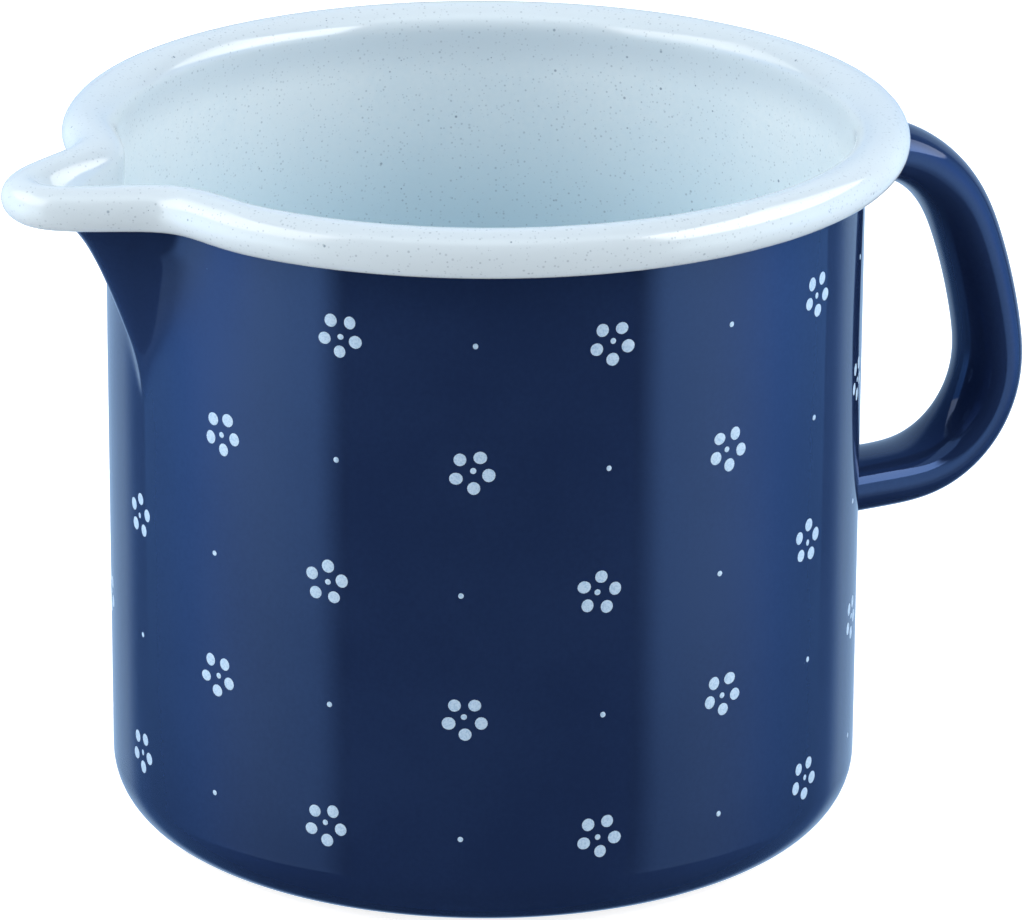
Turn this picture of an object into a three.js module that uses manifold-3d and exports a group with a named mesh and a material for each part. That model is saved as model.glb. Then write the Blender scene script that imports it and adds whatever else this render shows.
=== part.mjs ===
// A small pouring pot for milk: a drawn steel pot with a pressed spout and a rolled rim, a hollow steel
// handle welded on, and glass enamel fused over all of it. Millimetres, +Z up. The origin is at the centre of
// the underside, the handle points to +X and the spout to -X.
import * as THREE from 'three';
import { mergeVertices } from 'three/addons/utils/BufferGeometryUtils.js';
import Module from 'manifold-3d';

const wasm = await Module();
wasm.setup();

// Pot
const wallRadius = 61.5; // outside of the finished wall
const rimHeight = 118.75; // top of the finished rim
const cornerRadius = 10; // outside of the base corner
const beadRadius = 3.85; // section of the finished rolled rim
const beadProud = 3.2; // bead centre outside the finished wall
const curlEnd = -135; // where the rolled edge stops, in degrees round the bead from its outermost point

// Layers
const steel = 0.8;
const coat = 0.35; // coloured enamel
const lining = 0.3; // white enamel
const bond = 0.15; // room left between fused layers
const clearance = 0.3; // room left between neighbouring pieces

// Spout
const lipReach = 16.3; // how far the rim runs out at the tip
const lipHalfWidth = 9.55; // measured round the rim, where the lip has fallen to a third of its reach
const lipSharpness = 2.45; // 2 is a bell curve, more is a fuller tip with steeper sides
const spoutDepth = 31.4; // foot of the spout's keel below the bead centre
const keelStraight = 0.8; // share of the reach that the straight keel gives, the rest being the flare
const keelFlare = 6; // how late the flare comes
const keelSoftness = 0.2; // share of the depth over which the keel grows out of the wall
const footWidth = 0.45; // width of the spout at its foot, as a share of its width at the rim
const rimTuck = 1.05; // how far the rim is drawn in beside the spout
const tuckAt = 19.8; // middle of the tuck, measured round the rim from the tip
const tuckSpan = 7.9;

// Handle
const handleWidth = 15.6;
const handleThickness = 9.8;
const fingerSidePower = 0.8; // 1 is an ellipse, less is flatter on the finger side
const handleDrop = 13.1; // upper root below the bead centre
const handleSpan = 58; // from root to root
const handleTop = 25.9; // upper bend's corner, out from the wall
const handleLean = 15.4; // grip's lean outwards, in degrees
const upperBend = 21;
const lowerBend = 19.4;
const weldLeg = 1.8; // weld's width round the handle
const weldStand = 1.6; // weld's height off the finished wall

// Fineness
const turnSteps = 48;
const turnCrowding = 0.2; // share of an even step that the steps at the spout take
const turnGrowth = 0.7;
const cornerSteps = 3;
const curlSteps = 7;
const wallRows = [0, 0.22, 0.46, 0.7, 0.88, 1]; // rows over the wall beside the spout
const gripSteps = 24;
const sectionSteps = 12;

// Guide lines that every layer of the pot is offset from: the middle of the steel
const coatFace = steel / 2 + bond;
const liningFace = -(steel / 2 + bond);
const midRadius = wallRadius - coatFace - coat;
const baseLevel = coat + bond + steel / 2;
const midCorner = cornerRadius - coatFace - coat;
const midCurl = beadRadius + liningFace - lining;
const rimRadius = wallRadius + beadProud;
const beadLevel = rimHeight - beadRadius;
const underBead = beadLevel - beadRadius;
const spoutFoot = beadLevel - spoutDepth;
const upperRoot = beadLevel - handleDrop;
const lowerRoot = upperRoot - handleSpan;

const radians = THREE.MathUtils.degToRad;

// How far the keel stands out at a height, as a share of the lip's reach
function keelShare(z) {
  const rise = (z - spoutFoot) / spoutDepth;
  if (rise <= -keelSoftness) {
    return 0;
  }
  const soft = rise < keelSoftness ? (rise + keelSoftness) ** 2 / (4 * keelSoftness) : rise;
  return keelStraight * soft + (1 - keelStraight) * soft ** keelFlare;
}

// Plan line of the pot: a circle with the lip's bell added and the tucks beside it taken off
function lineRadius(line, angle) {
  const arc = Math.abs(angle) * rimRadius;
  const bell = Math.exp(-((arc / line.halfWidth) ** lipSharpness));
  const tuck = Math.exp(-(((arc - tuckAt) / tuckSpan) ** 2));
  return line.radius + line.reach * bell - line.tuck * tuck;
}

function linePoint(line, angle) {
  const radius = lineRadius(line, angle);
  return new THREE.Vector2(-radius * Math.cos(angle), -radius * Math.sin(angle));
}

const rimLine = { radius: rimRadius, reach: lipReach, halfWidth: lipHalfWidth, tuck: rimTuck };

function wallLine(z) {
  const share = keelShare(z);
  const halfWidth = lipHalfWidth * (footWidth + (1 - footWidth) * share);
  return { radius: midRadius, reach: lipReach * share, halfWidth, tuck: rimTuck * share };
}

// A place on the pot: a plan line, a distance from it along its normal, and a height. `stretch` is a distance
// inwards that is given up at the lip, where the sheet turns too tightly for it
function potPoint(place, angle) {
  const nearby = 0.001;
  const before = linePoint(place.line, angle - nearby);
  const after = linePoint(place.line, angle + nearby);
  const along = after.sub(before).normalize();
  const at = linePoint(place.line, angle);
  const atLip = Math.exp(-(((angle * rimRadius) / lipHalfWidth) ** 2));
  const out = place.out + (place.stretch ?? 0) * atLip;
  return new THREE.Vector3(at.x + along.y * out, at.y - along.x * out, place.z);
}

// One face of a layer: `face` is its distance outwards from the middle of the steel
function basePlace(face) {
  return { line: wallLine(0), out: -midRadius, z: baseLevel - face };
}

function cornerPlaces(face) {
  const radius = midCorner + face;
  return Array.from({ length: cornerSteps + 1 }, (_, step) => {
    const turn = (step / cornerSteps) * (Math.PI / 2);
    const out = radius * Math.sin(turn) - midCorner;
    return { line: wallLine(0), out, z: baseLevel + midCorner - radius * Math.cos(turn) };
  });
}

function wallPlaces(face) {
  const start = spoutFoot - keelSoftness * spoutDepth;
  return wallRows.map((row) => {
    const z = start + row * (underBead - start);
    return { line: wallLine(z), out: face, z };
  });
}

// The bead is round outside; its inner top quarter is stretched inwards until it meets the wall
function curlPlaces(face) {
  const radius = midCurl - face;
  const reach = rimRadius - midRadius - midCurl;
  return Array.from({ length: curlSteps + 1 }, (_, step) => {
    const turn = radians(180 + (step / curlSteps) * (curlEnd - 180));
    const stretch = turn > Math.PI / 2 ? -reach * Math.cos(turn) : 0;
    const out = radius * Math.cos(turn) - stretch;
    return { line: rimLine, out, stretch, z: beadLevel + radius * Math.sin(turn) };
  });
}

// Angles from the spout, close together at the lip and wider round the back
function turnAngle(step) {
  const even = (2 * step) / turnSteps - 1;
  return Math.PI * even * (turnCrowding + (1 - turnCrowding) * Math.abs(even) ** turnGrowth);
}

function isOnAxis(place) {
  return Math.abs(place.line.radius + place.out) < 1e-6;
}

// A closed shell between two faces, both given from the base up. The second is walked back down, and its panels are
// split along the other diagonal, so that faces which lie side by side in two layers bend in the same places
function turnedShell(outside, inside) {
  const closing = isOnAxis(outside[0]) ? [] : [outside[0]];
  const places = [...outside, ...inside.toReversed(), ...closing];
  const profile = places.map((place) => new THREE.Vector2(place.line.radius + place.out, place.z));
  const geometry = new THREE.LatheGeometry(profile, turnSteps);
  const position = geometry.getAttribute('position');
  const index = geometry.getIndex();
  for (let step = 0; step <= turnSteps; step++) {
    const angle = turnAngle(step % turnSteps);
    places.forEach((place, row) => {
      const point = isOnAxis(place) ? new THREE.Vector3(0, 0, place.z) : potPoint(place, angle);
      position.setXYZ(step * places.length + row, point.x, point.y, point.z);
    });
  }
  for (let step = 0; step < turnSteps; step++) {
    for (let row = outside.length; row < places.length - 1; row++) {
      const here = step * places.length + row;
      const next = here + places.length;
      const corners = [here, next, next + 1, here, next + 1, here + 1];
      corners.forEach((corner, place) => index.setX((step * (places.length - 1) + row) * 6 + place, corner));
    }
  }
  return geometry;
}

// Handle: its line runs out level, bends down, leans out along the grip and bends back to the wall
class HandleLine extends THREE.Curve {
  constructor() {
    super();
    const lean = Math.tan(radians(handleLean));
    const start = new THREE.Vector2(wallRadius / 2, upperRoot);
    const upper = new THREE.Vector2(wallRadius + handleTop, upperRoot);
    const lower = new THREE.Vector2(upper.x + handleSpan * lean, lowerRoot);
    const end = new THREE.Vector2(wallRadius / 2, lowerRoot);
    const upperTangent = upperBend * Math.tan(radians(90 - handleLean) / 2);
    const lowerTangent = lowerBend * Math.tan(radians(90 + handleLean) / 2);
    this.line = new THREE.Path();
    this.line.moveTo(start.x, start.y);
    this.line.lineTo(upper.x - upperTangent, upperRoot);
    const turned = radians(handleLean);
    this.line.absarc(upper.x - upperTangent, upperRoot - upperBend, upperBend, Math.PI / 2, turned, true);
    this.line.absarc(lower.x - lowerTangent, lowerRoot + lowerBend, lowerBend, turned, -Math.PI / 2, true);
    this.line.lineTo(end.x, end.y);
  }

  getPoint(share, target = new THREE.Vector3()) {
    const point = this.line.getPoint(share);
    return target.set(point.x, 0, point.y);
  }
}

// Section of the handle, flatter on the finger side, taken in by `inset` all round and turned over at the lower
// root, where the finger side is -1
function handleOutline(inset, fingerSide = 1) {
  const halfThickness = handleThickness / 2 - inset;
  const halfWidth = handleWidth / 2 - inset;
  return Array.from({ length: sectionSteps }, (_, step) => {
    const turn = (step / sectionSteps) * 2 * Math.PI;
    const power = Math.cos(turn) > 0 ? fingerSidePower : 1;
    const deep = Math.sign(Math.cos(turn)) * Math.abs(Math.cos(turn)) ** power;
    return new THREE.Vector2(halfThickness * deep, halfWidth * Math.sin(turn)).multiplyScalar(fingerSide);
  });
}

function tubeAlong(path, steps, outside, inside) {
  const shape = new THREE.Shape(outside);
  if (inside) {
    shape.holes.push(new THREE.Path(inside));
  }
  return new THREE.ExtrudeGeometry(shape, { steps, extrudePath: path });
}

// Cutting and joining
function solidOf(geometry) {
  const bare = geometry.clone();
  bare.deleteAttribute('normal');
  bare.deleteAttribute('uv');
  const merged = mergeVertices(bare, 1e-4);
  const corners = merged.getIndex().array;
  const kept = [];
  for (let first = 0; first < corners.length; first += 3) {
    const [a, b, c] = corners.slice(first, first + 3);
    if (a !== b && b !== c && c !== a) {
      kept.push(a, b, c);
    }
  }
  const vertProperties = new Float32Array(merged.getAttribute('position').array);
  return new wasm.Manifold(new wasm.Mesh({ numProp: 3, vertProperties, triVerts: new Uint32Array(kept) }));
}

function geometryOf(solid) {
  const mesh = solid.getMesh();
  const geometry = new THREE.BufferGeometry();
  geometry.setAttribute('position', new THREE.BufferAttribute(new Float32Array(mesh.vertProperties), 3));
  geometry.setIndex(new THREE.BufferAttribute(new Uint32Array(mesh.triVerts), 1));
  geometry.computeVertexNormals();
  return geometry;
}

// Everything inside a wall face, as a plug the height of the pot, to trim the handle's ends with
function wallPlug(face) {
  const low = { line: wallLine(0), out: face, z: 0 };
  const high = { line: wallLine(0), out: face, z: rimHeight };
  const axis = -midRadius;
  return solidOf(turnedShell([{ ...low, out: axis }, low, high], [{ ...high, out: axis }]));
}

function rootLine(z) {
  return new THREE.LineCurve3(
    new THREE.Vector3(wallRadius / 2, 0, z),
    new THREE.Vector3(wallRadius + handleTop, 0, z),
  );
}

const steelPlug = wallPlug(steel / 2 + clearance);
const weldPlug = wallPlug(coatFace + coat + weldStand);
const coatPlug = wallPlug(coatFace + coat + weldStand + clearance);
const steelInset = coat + bond;

function weldRing(z, fingerSide) {
  const outside = handleOutline(-weldLeg, fingerSide);
  const inside = handleOutline(steelInset - clearance, fingerSide);
  const ring = solidOf(tubeAlong(rootLine(z), 1, outside, inside));
  return geometryOf(ring.subtract(steelPlug).intersect(weldPlug));
}

function weldPort(z, fingerSide) {
  return solidOf(tubeAlong(rootLine(z), 1, handleOutline(-weldLeg - clearance, fingerSide)));
}

// One face of the pot's sheet, from the middle of the base to the end of the curl
function sheetFace(face) {
  return [basePlace(face), ...cornerPlaces(face), ...wallPlaces(face), ...curlPlaces(face)];
}

// One sheet: base and wall drawn, spout pressed, rim curled outwards
function steelPot() {
  return turnedShell(sheetFace(steel / 2), sheetFace(-steel / 2));
}

// White enamel over the inside and round the bead
function whiteLining() {
  return turnedShell(sheetFace(liningFace), sheetFace(liningFace - lining));
}

// Coloured enamel on the wall, from the base corner to under the bead, with ports for the two welds
function wallCoat() {
  const open = [...cornerPlaces(coatFace + coat), ...wallPlaces(coatFace + coat)];
  const fused = [...cornerPlaces(coatFace), ...wallPlaces(coatFace)];
  const solid = solidOf(turnedShell(open, fused));
  return geometryOf(solid.subtract(weldPort(upperRoot, 1)).subtract(weldPort(lowerRoot, -1)));
}

function baseCoat() {
  const edge = { line: wallLine(0), out: -midCorner - clearance };
  const level = baseLevel - coatFace;
  return turnedShell(
    [basePlace(coatFace + coat), { ...edge, z: level - coat }],
    [basePlace(coatFace), { ...edge, z: level }],
  );
}

function handleShell() {
  const tube = tubeAlong(
    new HandleLine(), gripSteps, handleOutline(steelInset), handleOutline(steelInset + steel),
  );
  return geometryOf(solidOf(tube).subtract(steelPlug));
}

function handleCoat() {
  const tube = tubeAlong(new HandleLine(), gripSteps, handleOutline(0), handleOutline(coat));
  return geometryOf(solidOf(tube).subtract(coatPlug));
}

const blueEnamel = { color: 0x2b4379, roughness: 0.12, metalness: 0 };
const whiteEnamel = { color: 0xd9e6ef, roughness: 0.15, metalness: 0 };
const bareSteel = { color: 0x8f9399, roughness: 0.4, metalness: 0.9 };

const pot = new THREE.Group();

function addPiece(name, geometry, finish) {
  const piece = new THREE.Mesh(geometry, new THREE.MeshStandardMaterial(finish));
  piece.name = name;
  pot.add(piece);
}

addPiece('steel_pot', steelPot(), bareSteel);
addPiece('white_lining', whiteLining(), whiteEnamel);
addPiece('blue_wall_coat', wallCoat(), blueEnamel);
addPiece('blue_base_coat', baseCoat(), blueEnamel);
addPiece('handle_shell', handleShell(), bareSteel);
addPiece('blue_handle_coat', handleCoat(), blueEnamel);
addPiece('upper_handle_weld', weldRing(upperRoot, 1), blueEnamel);
addPiece('lower_handle_weld', weldRing(lowerRoot, -1), blueEnamel);

export default pot;
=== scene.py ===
"""An enamelled milk pot: drawn steel sheet, a white lining rolled over the rim, a blue coat outside, a
hollow handle welded on and a pale flower print. Every piece is a surface worked out from a few sizes, in
metres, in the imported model's frame: the origin under the middle of the base, the handle to +X and the spout
to -X."""

import math

import bpy
import numpy as np
from bpy.props import FloatProperty, FloatVectorProperty, IntProperty, PointerProperty
from bpy.types import Operator, Panel, PropertyGroup
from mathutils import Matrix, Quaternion, Vector


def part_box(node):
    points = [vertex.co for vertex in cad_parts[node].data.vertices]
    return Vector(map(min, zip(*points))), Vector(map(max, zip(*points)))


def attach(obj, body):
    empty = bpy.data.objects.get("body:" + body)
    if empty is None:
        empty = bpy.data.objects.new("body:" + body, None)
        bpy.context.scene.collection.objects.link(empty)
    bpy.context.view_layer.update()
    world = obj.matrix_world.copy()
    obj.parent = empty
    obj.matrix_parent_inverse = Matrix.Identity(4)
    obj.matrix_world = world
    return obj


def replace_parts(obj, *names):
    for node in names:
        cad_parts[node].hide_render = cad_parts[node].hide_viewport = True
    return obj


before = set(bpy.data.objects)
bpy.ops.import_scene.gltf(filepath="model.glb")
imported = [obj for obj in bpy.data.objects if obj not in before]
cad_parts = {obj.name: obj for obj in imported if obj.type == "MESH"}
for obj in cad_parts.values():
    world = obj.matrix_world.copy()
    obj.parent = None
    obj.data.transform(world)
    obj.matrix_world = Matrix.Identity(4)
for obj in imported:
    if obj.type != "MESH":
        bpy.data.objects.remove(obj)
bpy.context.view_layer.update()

bl_info = {
    "name": "Enamelled milk pot",
    "version": (1, 0, 0),
    "blender": (4, 5, 0),
    "location": "3D View > Sidebar > Milk pot",
    "description": "Builds an enamelled milk pot from its sizes and colours",
    "category": "Add Mesh",
}

BODY = "root"
RIM_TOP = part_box("white_lining")[1].z


def length(name, description, default):
    return FloatProperty(name=name, description=description, default=default, min=0, unit="LENGTH",
                         precision=5)


def share(name, description, default):
    return FloatProperty(name=name, description=description, default=default, min=0, max=1, subtype="FACTOR")


def colour(name, description, default):
    return FloatVectorProperty(name=name, description=description, default=default, min=0, max=1, size=3,
                               subtype="COLOR")


def turn(name, description, degrees):
    return FloatProperty(name=name, description=description, default=math.radians(degrees), subtype="ANGLE")


def number(name, description, default):
    return FloatProperty(name=name, description=description, default=default)


class PotSizes(PropertyGroup):
    """The drawn pot and its layers."""
    wall_radius: length("Wall radius", "Outside of the finished wall", 0.0615)
    rim_height: length("Rim height", "Top of the finished rim", RIM_TOP)
    corner_radius: length("Corner radius", "Outside of the base corner", 0.010)
    bead_radius: length("Bead radius", "Section of the finished rolled rim", 0.00385)
    bead_proud: length("Bead proud", "Bead centre outside the finished wall", 0.0032)
    steel: length("Steel", "Thickness of the drawn sheet", 0.0008)
    coat: length("Coat", "Thickness of the coloured enamel", 0.00035)
    lining: length("Lining", "Thickness of the white enamel", 0.0003)
    bond: length("Bond", "Room left between fused layers", 0.00015)
    base_dish: length("Base dish", "How far the middle of the base is pressed up", 0.0003)


class SpoutSizes(PropertyGroup):
    """The pressed spout."""
    reach: length("Reach", "How far the rim runs out at the tip", 0.0163)
    half_width: length("Half width", "Round the rim to where the lip has fallen to a third", 0.00955)
    sharpness: number("Sharpness", "2 is a bell curve, more is a fuller tip", 2.45)
    foot_sharpness: number("Foot sharpness", "The same at the keel's foot", 1.7)
    depth: length("Depth", "Foot of the keel below the bead centre", 0.0314)
    keel_straight: share("Straight keel", "Share of the reach that the straight keel gives", 0.70)
    keel_flare: number("Keel flare", "How late the flare comes", 4.5)
    keel_softness: share("Keel softness", "Share of the depth over which the keel grows out", 0.2)
    foot_width: share("Foot width", "Width at the foot, as a share of the width at the rim", 0.1)
    tuck: length("Tuck", "How far the rim is drawn in beside the spout", 0.00105)
    tuck_at: length("Tuck place", "Middle of the tuck, round the rim from the tip", 0.0198)
    tuck_span: length("Tuck span", "Half length of the tuck", 0.0079)
    slimmer: length("Slimmer bead", "How much thinner the bead is at the tip", 0.0004)
    lower: length("Lower bead", "How much lower the bead is at the tip", 0.0003)
    lean: turn("Lean", "How far the sheet leans out where the curl starts at the tip", 45)


class HandleSizes(PropertyGroup):
    """The hollow handle and its welds."""
    width: length("Width", "Across the handle", 0.0156)
    thickness: length("Thickness", "Through the handle", 0.0099)
    finger_power: share("Finger side", "1 is an ellipse, less is flatter on the finger side", 0.8)
    drop: length("Drop", "Upper root below the bead centre", 0.0118)
    span: length("Span", "From root to root", 0.0593)
    top: length("Top", "Upper bend's corner, out from the wall", 0.0237)
    lean: turn("Lean", "How far the grip leans out", 15.15)
    upper_bend: length("Upper bend", "Radius of the upper bend", 0.02155)
    lower_bend: length("Lower bend", "Radius of the lower bend", 0.0169)
    bow: turn("Bow", "How far the grip turns along each half of its length", 7)
    ease: length("Ease", "Length over which the bends come in", 0.007)
    weld_leg: length("Weld leg", "Weld's width round the handle", 0.0018)
    weld_stand: length("Weld stand", "Weld's height off the wall", 0.0016)


class PrintSizes(PropertyGroup):
    """The printed flowers and dots."""
    columns: IntProperty(name="Columns", description="Columns round the pot", default=18, min=2)
    rows: IntProperty(name="Rows", description="Rows up the wall", default=5, min=1)
    first_row: length("First row", "Height of the top row", 0.0989)
    row_gap: length("Row gap", "From row to row", 0.0205)
    ring: length("Ring", "From a flower's middle to the middle of a petal", 0.0027)
    petal: length("Petal", "Radius of a petal", 0.00112)
    heart: length("Heart", "Radius of a flower's middle dot", 0.00052)
    dot: length("Dot", "Radius of a lone dot", 0.00049)
    lift: length("Lift", "How far the print stands off the coat", 0.00004)


class Colours(PropertyGroup):
    """Enamel, print and steel."""
    blue: colour("Blue", "Blue enamel where it is thick", (0.0098, 0.0205, 0.062))
    blue_thin: colour("Thin blue", "Blue enamel where it is thin", (0.0125, 0.026, 0.075))
    blue_shine: colour("Blue shine", "Tint of the light that the blue enamel throws back", (0.24, 0.44, 1.0))
    white: colour("White", "White enamel", (0.76, 0.83, 0.87))
    white_thin: colour("Thin white", "White enamel where it is thin", (0.70, 0.79, 0.845))
    # Painted shade: a darker, bluer white down inside the pot stands in for the dimmer light deep in it
    white_deep: colour("Deep white", "White enamel down inside the pot", (0.60, 0.77, 0.86))
    # Painted shade: a darker white over the rolled rim stands in for less light falling on it
    white_rim: colour("Rim white", "White enamel where it is drawn thin over the rim", (0.595, 0.68, 0.745))
    speck: colour("Speck", "Specks in the white enamel", (0.10, 0.17, 0.25))
    print_pale: colour("Print", "Printed flowers", (0.46, 0.60, 0.76))
    print_deep: colour("Print shade", "Where the print is thin", (0.31, 0.47, 0.66))
    steel: colour("Steel", "Bare steel", (0.45, 0.46, 0.48))


class StageSizes(PropertyGroup):
    """Camera and soft light."""
    bearing: turn("Bearing", "Where the camera stands, round from -Y towards +X", -28)
    height_angle: turn("Height angle", "How steeply the camera looks down", 19.79)
    distance: length("Distance", "From the camera to the middle of the pot", 1.1055)
    middle: length("Middle", "Height of the point that the camera stands off from", 0.05157)
    aim_right: length("Aim right", "Aim beside the middle", 0.00457)
    aim_up: length("Aim up", "Aim above the middle", 0.00675)
    roll: turn("Roll", "Turn about the line of sight", 0.298)
    lens: number("Lens", "Focal length in millimetres", 236.07)
    panel_light: number("Panel light", "Brightness of the two side panels", 2.4)
    room_light: number("Room light", "Brightness of the room behind", 1.0)


class MilkPot(PropertyGroup):
    """Everything a user can change."""
    pot: PointerProperty(type=PotSizes)
    spout: PointerProperty(type=SpoutSizes)
    handle: PointerProperty(type=HandleSizes)
    print: PointerProperty(type=PrintSizes)
    colours: PointerProperty(type=Colours)
    stage: PointerProperty(type=StageSizes)


# Meshes from whole arrays

SHARP_ABOVE = 50  # degrees between two faces
TOUCHING = 1e-9


def ring_pairs(count, closed):
    """Each place and the next one round: the last place's next is the first when the line is closed."""
    here = np.arange(count if closed else count - 1)
    return here, (here + 1) % count


def grid_quads(rows, columns, close_rows, close_columns):
    """Corners of every panel of a grid of points numbered row by row."""
    low, high = ring_pairs(rows, close_rows)
    left, right = ring_pairs(columns, close_columns)
    low, high = low[:, None] * columns, high[:, None] * columns
    corners = (low + left, low + right, high + right, high + left)
    return np.stack(corners, axis=-1).reshape(-1, 4)


def volume_of(points, quads):
    """Volume inside closed panels: the sum of the wedges that each one makes with the origin."""
    a, b, c, d = (points[quads[:, corner]] for corner in range(4))
    return np.einsum("ij,ij->", a, np.cross(b, c) + np.cross(c, d)) / 6


def new_object(name, points, faces, material):
    """An object at the origin, from its points and faces."""
    mesh = bpy.data.meshes.new(name)
    mesh.from_pydata(points.tolist(), [], faces)
    mesh.materials.append(material)
    made = bpy.data.objects.new(name, mesh)
    bpy.context.scene.collection.objects.link(made)
    return made


def put_piece(name, points, quads, slot):
    """Makes a piece of merged points and panels that face outwards, riding on the pot."""
    if volume_of(points, quads) < 0:
        quads = quads[:, ::-1]
    flat = [tuple(dict.fromkeys(quad)) for quad in quads.tolist()]
    piece = new_object(name, points, flat, finish_for(slot))
    piece.data.shade_smooth()
    piece.data.set_sharp_from_angle(angle=math.radians(SHARP_ABOVE))
    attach(piece, BODY)
    return piece


def shell(name, outside, inside, slot):
    """A closed skin between two faces of the pot, both given from the axis or the lower edge up. Rows that
    lie on the axis become one point each, and the two upper edges are joined, as are the lower ones."""
    rows = np.concatenate([outside, inside[::-1]])
    count, columns = rows.shape[:2]
    quads = grid_quads(count, columns, close_rows=True, close_columns=True)
    points = rows.reshape(-1, 3)
    on_axis = np.hypot(points[:, 0], points[:, 1]) < TOUCHING
    kept = np.arange(len(points))
    kept[on_axis] = kept[on_axis] // columns * columns
    used, numbers = np.unique(kept, return_inverse=True)
    quads = numbers[quads]
    if on_axis[0]:
        quads = quads[:(count - 1) * columns]
    return put_piece(name, points[used], quads, slot)


# The pot

COLUMNS_ROUND = 360
NECK_BEADS = 2.6  # bead radii from the bead's centre down to where the wall ends
SLIM_SPREAD = 1.4  # lip widths over which the bead is slimmer
CURL_SPREAD = 1.2  # lip widths over which the curl's end moves
COAT_END = 0.85  # share of the neck that the blue coat covers


class PotForm:
    """Guide lines of the pot, from its sizes. Every layer is a face at some distance from the middle of the
    steel."""

    def __init__(self, pot, spout):
        self.pot, self.spout = pot, spout
        self.coat_face = pot.steel / 2 + pot.bond
        self.lining_face = -self.coat_face
        self.mid_radius = pot.wall_radius - self.coat_face - pot.coat
        self.base_level = pot.coat + pot.bond + pot.steel / 2
        self.mid_corner = pot.corner_radius - self.coat_face - pot.coat
        self.mid_curl = pot.bead_radius + self.lining_face - pot.lining
        self.rim_radius = pot.wall_radius + pot.bead_proud
        self.bead_level = pot.rim_height - pot.bead_radius
        self.neck_level = self.bead_level - NECK_BEADS * pot.bead_radius
        self.spout_foot = self.bead_level - spout.depth
        self.angles = self.column_angles(COLUMNS_ROUND)

    @staticmethod
    def column_angles(count, crowding=0.22, growth=0.7):
        """Angles from the spout, close together at the lip and wider round the back."""
        even = 2 * np.arange(count) / count - 1
        return np.pi * even * (crowding + (1 - crowding) * np.abs(even) ** growth)

    def keel_share(self, z):
        """How far the keel stands out at a height, as a share of the reach: nothing below its soft foot,
        then a straight run with a flare on top, the rise to a high power."""
        soft = self.spout.keel_softness
        rise = (z - self.spout_foot) / self.spout.depth
        eased = np.where(rise < soft, np.clip(rise + soft, 0, None) ** 2 / (4 * soft), rise)
        straight = self.spout.keel_straight
        return straight * eased + (1 - straight) * np.clip(eased, 0, None) ** self.spout.keel_flare

    def line_point(self, angle, radius, reach, half_width, tuck, sharpness):
        """Plan line: a circle, plus a bell of the arc from the spout's middle, less a small bell beside
        it."""
        arc = np.abs(angle) * self.rim_radius
        bell = np.exp(-((arc / half_width) ** sharpness))
        dip = np.exp(-(((arc - self.spout.tuck_at) / self.spout.tuck_span) ** 2))
        line = radius + reach * bell - tuck * dip
        return np.stack([-line * np.cos(angle), -line * np.sin(angle)], axis=-1)

    def plan(self, angle, out, *line):
        """The plan line and its outward normal, and the point at a distance out along that normal."""
        nearby = 0.001
        along = self.line_point(angle + nearby, *line) - self.line_point(angle - nearby, *line)
        along /= np.linalg.norm(along, axis=-1, keepdims=True)
        normal = np.stack([along[..., 1], -along[..., 0]], axis=-1)
        return self.line_point(angle, *line) + normal * np.asarray(out)[..., None], normal

    def wall_point(self, z, angle, face):
        """The wall at a height: the plan line grows from the circle to the lip with the keel's share, narrow
        and sharp at its foot."""
        spout = self.spout
        grown = self.keel_share(z)
        widened = 1 - (1 - grown) ** 3
        half_width = spout.half_width * (spout.foot_width + (1 - spout.foot_width) * widened)
        sharpness = spout.foot_sharpness + (spout.sharpness - spout.foot_sharpness) * grown ** 2
        line = (self.mid_radius, spout.reach * grown, half_width, spout.tuck * grown, sharpness)
        place, _ = self.plan(angle, face, *line)
        return np.concatenate([place, np.broadcast_to(z, place.shape[:-1])[..., None]], axis=-1)

    def at_lip(self, angle, widths=1.0):
        """1 at the tip of the spout and 0 round the rest of the rim."""
        return np.exp(-((angle * self.rim_radius / (self.spout.half_width * widths)) ** 2))

    def curl_start(self, angle):
        """Where the curl starts, round the bead from its outermost point."""
        return np.pi - self.spout.lean * self.at_lip(angle)

    def curl_point(self, around, angle, face):
        """The rolled bead: a circle round the rim line, its inner quarter stretched until it meets the wall.
        Returns the point and the direction in which the sheet runs there."""
        spout = self.spout
        slim = self.at_lip(angle, SLIM_SPREAD)
        radius = self.mid_curl - spout.slimmer * slim - face
        level = self.bead_level - spout.lower * slim
        extra = (self.rim_radius - self.mid_radius - self.mid_curl) * (1 - self.at_lip(angle))
        across = radius + np.where(around > np.pi / 2, extra, 0)
        out = across * np.cos(around)
        line = (self.rim_radius, spout.reach, spout.half_width, spout.tuck, spout.sharpness)
        place, normal = self.plan(angle, out, *line)
        point = np.concatenate([place, (level + radius * np.sin(around))[..., None]], axis=-1)
        run_out, run_up = across * np.sin(around), -radius * np.cos(around)
        run = np.concatenate([normal * run_out[..., None], run_up[..., None]], axis=-1)
        return point, run / np.linalg.norm(run, axis=-1, keepdims=True)

    def base_rows(self, face, edge=None):
        """The flat base out to where the corner starts, its middle pressed up by a soft step."""
        edge = self.mid_radius - self.mid_corner if edge is None else edge
        radii = np.array([0, 0.3, 0.6, *np.linspace(0.78, 0.94, 9), 1.0])[:, None] * edge
        step = np.clip((0.92 - radii / edge) / 0.12, 0, 1)
        z = self.base_level - face + self.pot.base_dish * step * step * (3 - 2 * step)
        angle = self.angles[None, :]
        return np.stack(np.broadcast_arrays(-radii * np.cos(angle), -radii * np.sin(angle), z), axis=-1)

    def corner_rows(self, face, steps=14):
        """A quarter round from the base to the wall."""
        roll = np.linspace(0, np.pi / 2, steps + 1)[:, None]
        radius = self.mid_corner + face
        flat = self.mid_radius - self.mid_corner + radius * np.sin(roll)
        z = self.base_level + self.mid_corner - radius * np.cos(roll)
        angle = self.angles[None, :]
        return np.stack(np.broadcast_arrays(-flat * np.cos(angle), -flat * np.sin(angle), z), axis=-1)

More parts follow.
